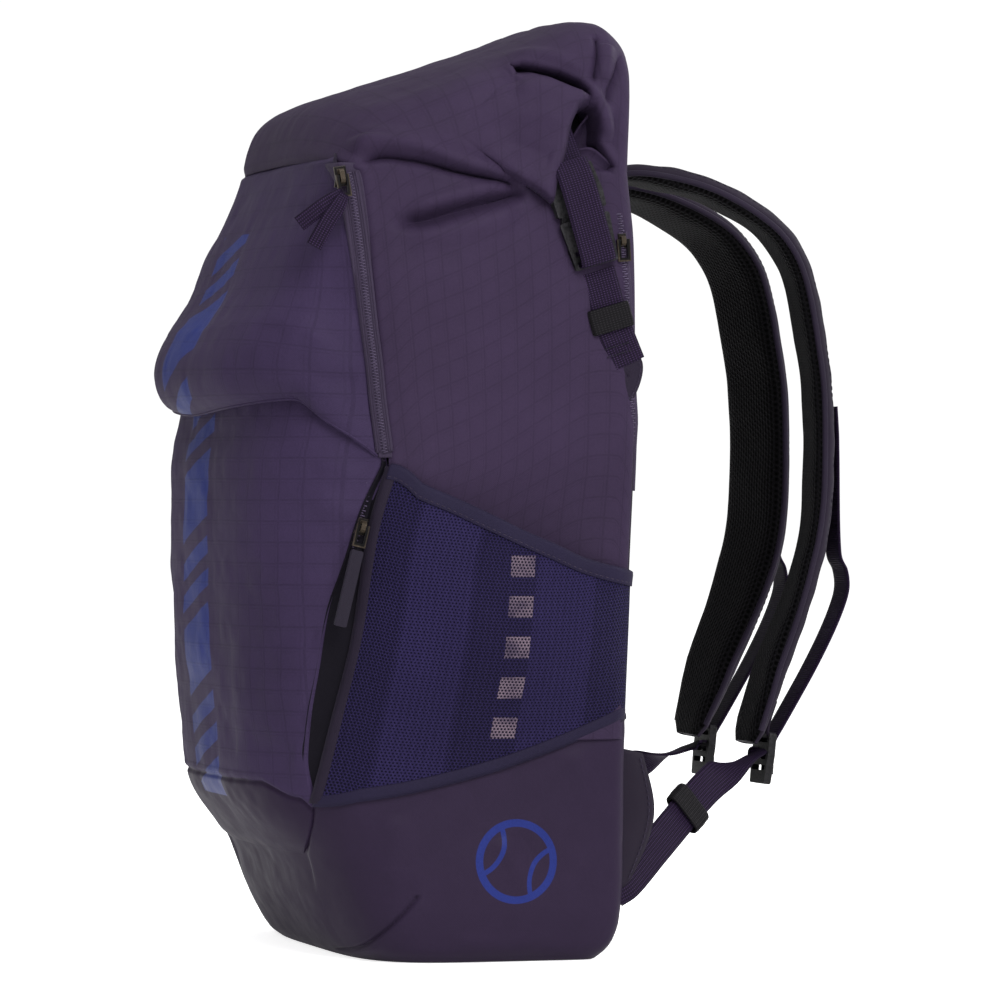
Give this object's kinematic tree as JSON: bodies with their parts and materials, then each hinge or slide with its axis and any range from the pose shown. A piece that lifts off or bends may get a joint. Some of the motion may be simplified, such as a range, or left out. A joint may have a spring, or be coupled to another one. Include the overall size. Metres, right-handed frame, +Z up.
{
  "type": "roll-top racket backpack",
  "caption": "Roll-top racket backpack with side-release buckles, zipped front pockets, elastic mesh bottle pockets and padded shoulder straps.",
  "frame": {"origin": "centre of the flat underside of the base, on the bag's left-right symmetry plane", "axes": "+Z up the bag; +Y towards the wearer's back, where the shoulder straps are; -Y the front pockets; +X the wearer's right, the side with the zips and sliders"},
  "size_m": [0.3772, 0.3834, 0.518],
  "materials": {
    "ripstop": "matte",
    "coated_base": "satin",
    "pocket_mesh": "matte",
    "dark_gusset": "matte",
    "spacer_mesh": "matte",
    "webbing": "matte",
    "elastic": "matte",
    "zip_tape": "matte",
    "foam": "matte",
    "binding": "matte",
    "acetal": "satin",
    "board": "matte",
    "zip_metal": "satin"
  },
  "bodies": {
    "bag": {"anchor_tabs": "ripstop", "back_pads": "foam", "back_panel": "ripstop", "base_board": "board", "base_boot": "coated_base", "base_foam": "foam", "buckle_sockets": "acetal", "collar": "ripstop", "compression_tails": "webbing", "compression_webbings": "webbing", "frame_sheet": "board", "front_wall": "ripstop", "laptop_sleeve": "ripstop", "laptop_zip_tape": "zip_tape", "lower_pocket": "ripstop", "lower_zip_tape": "zip_tape", "mesh_pocket_left": "pocket_mesh", "mesh_pocket_right": "pocket_mesh", "pocket_bindings": "binding", "pocket_gusset": "dark_gusset", "side_panel_left": "ripstop", "side_panel_right": "ripstop", "strap_roots": "ripstop", "strap_wing_left": "dark_gusset", "strap_wing_right": "dark_gusset", "upper_pocket": "ripstop", "upper_zip_tape": "zip_tape"},
    "rolltop": {"roll": "ripstop", "roll_stiffener": "board", "buckle_plugs": "acetal", "roll_webbings": "webbing"},
    "arm_right_front": {"buckle_arm_right_front": "acetal"},
    "arm_right_rear": {"buckle_arm_right_rear": "acetal"},
    "arm_left_front": {"buckle_arm_left_front": "acetal"},
    "arm_left_rear": {"buckle_arm_left_rear": "acetal"},
    "upper_slider": {"upper_zip_slider": "zip_metal"},
    "lower_slider": {"lower_zip_slider": "zip_metal"},
    "laptop_slider": {"laptop_zip_slider": "zip_metal"},
    "upper_pull": {"upper_zip_ring": "zip_metal", "upper_zip_tails": "webbing"},
    "lower_pull": {"lower_zip_ring": "zip_metal", "lower_zip_tab": "acetal"},
    "laptop_pull": {"laptop_zip_ring": "zip_metal"},
    "strap_right": {"strap_cover_right": "ripstop", "strap_foam_right": "foam", "strap_mesh_right": "spacer_mesh", "strap_webbing_right": "webbing", "lower_webbing_right": "webbing"},
    "ladder_right": {"ladder_lock_right": "acetal"},
    "strap_keeper_right": {"strap_keeper_right": "elastic"},
    "side_keeper_right": {"side_keeper_right": "elastic"},
    "strap_left": {"strap_cover_left": "ripstop", "strap_foam_left": "foam", "strap_mesh_left": "spacer_mesh", "strap_webbing_left": "webbing", "lower_webbing_left": "webbing"},
    "ladder_left": {"ladder_lock_left": "acetal"},
    "strap_keeper_left": {"strap_keeper_left": "elastic"},
    "side_keeper_left": {"side_keeper_left": "elastic"},
    "haul": {"haul_loop": "webbing"}
  },
  "joints": [
    {"name": "rolltop_lift", "type": "slide", "parent": "bag", "child": "rolltop", "axis": [0, 0, 1], "range_m": [0, 0.06]},
    {"name": "buckle_right_front_arm", "type": "hinge", "parent": "rolltop", "child": "arm_right_front", "pos_m": [0.151, 0.03389, 0.41215], "axis": [1, 0, 0], "range_deg": [0, 5]},
    {"name": "buckle_right_rear_arm", "type": "hinge", "parent": "rolltop", "child": "arm_right_rear", "pos_m": [0.151, 0.05174, 0.41737], "axis": [1, 0, 0], "range_deg": [-5, 0]},
    {"name": "buckle_left_front_arm", "type": "hinge", "parent": "rolltop", "child": "arm_left_front", "pos_m": [-0.151, 0.03389, 0.41215], "axis": [1, 0, 0], "range_deg": [0, 5]},
    {"name": "buckle_left_rear_arm", "type": "hinge", "parent": "rolltop", "child": "arm_left_rear", "pos_m": [-0.151, 0.05174, 0.41737], "axis": [1, 0, 0], "range_deg": [-5, 0]},
    {"name": "upper_zip_slide", "type": "slide", "parent": "bag", "child": "upper_slider", "axis": [0.0395, 0.1551, -0.9871], "range_m": [0, 0.118]},
    {"name": "upper_pull_swing", "type": "hinge", "parent": "upper_slider", "child": "upper_pull", "pos_m": [0.14496, -0.08879, 0.42832], "axis": [0, -0.9879, -0.1552], "range_deg": [0, 90]},
    {"name": "lower_zip_slide", "type": "slide", "parent": "bag", "child": "lower_slider", "axis": [0, -0.2338, -0.9723], "range_m": [-0.014, 0.12]},
    {"name": "lower_pull_swing", "type": "hinge", "parent": "lower_slider", "child": "lower_pull", "pos_m": [0.1501, -0.07841, 0.23866], "axis": [0, -0.9723, 0.2338], "range_deg": [0, 90]},
    {"name": "laptop_zip_slide", "type": "slide", "parent": "bag", "child": "laptop_slider", "axis": [0, 0.0717, -0.9974], "range_m": [0, 0.0145]},
    {"name": "laptop_pull_swing", "type": "hinge", "parent": "laptop_slider", "child": "laptop_pull", "pos_m": [0.15095, 0.0685, 0.39502], "axis": [0, -0.9974, -0.0717], "range_deg": [0, 90]},
    {"name": "strap_swing_right", "type": "hinge", "parent": "bag", "child": "strap_right", "pos_m": [0.045, 0.082, 0.436], "axis": [0.2285, -0.0295, -0.9731], "range_deg": [-6, 25]},
    {"name": "ladder_tilt_right", "type": "hinge", "parent": "strap_right", "child": "ladder_right", "pos_m": [0.054, 0.18345, 0.11843], "axis": [1, 0, 0], "range_deg": [0, 25]},
    {"name": "strap_keeper_slide_right", "type": "slide", "parent": "strap_right", "child": "strap_keeper_right", "axis": [0.5313, -0.6641, -0.526], "range_m": [-0.012, 0.03]},
    {"name": "side_keeper_slide_right", "type": "slide", "parent": "bag", "child": "side_keeper_right", "axis": [0, -0.2809, 0.9597], "range_m": [-0.008, 0.012]},
    {"name": "strap_swing_left", "type": "hinge", "parent": "bag", "child": "strap_left", "pos_m": [-0.045, 0.082, 0.436], "axis": [0.2285, 0.0295, 0.9731], "range_deg": [-6, 25]},
    {"name": "ladder_tilt_left", "type": "hinge", "parent": "strap_left", "child": "ladder_left", "pos_m": [-0.054, 0.18345, 0.11843], "axis": [1, 0, 0], "range_deg": [0, 25]},
    {"name": "strap_keeper_slide_left", "type": "slide", "parent": "strap_left", "child": "strap_keeper_left", "axis": [-0.5313, -0.6641, -0.526], "range_m": [-0.012, 0.03]},
    {"name": "side_keeper_slide_left", "type": "slide", "parent": "bag", "child": "side_keeper_left", "axis": [0, -0.2809, 0.9597], "range_m": [-0.008, 0.012]},
    {"name": "haul_loop_swing", "type": "hinge", "parent": "bag", "child": "haul", "pos_m": [0, 0.0828, 0.449], "axis": [1, 0, 0], "range_deg": [-50, 0]}
  ],
  "couplings": [
    {"joint": "buckle_right_rear_arm", "follows": "buckle_right_front_arm", "ratio": -1},
    {"joint": "buckle_left_rear_arm", "follows": "buckle_left_front_arm", "ratio": -1}
  ]
}
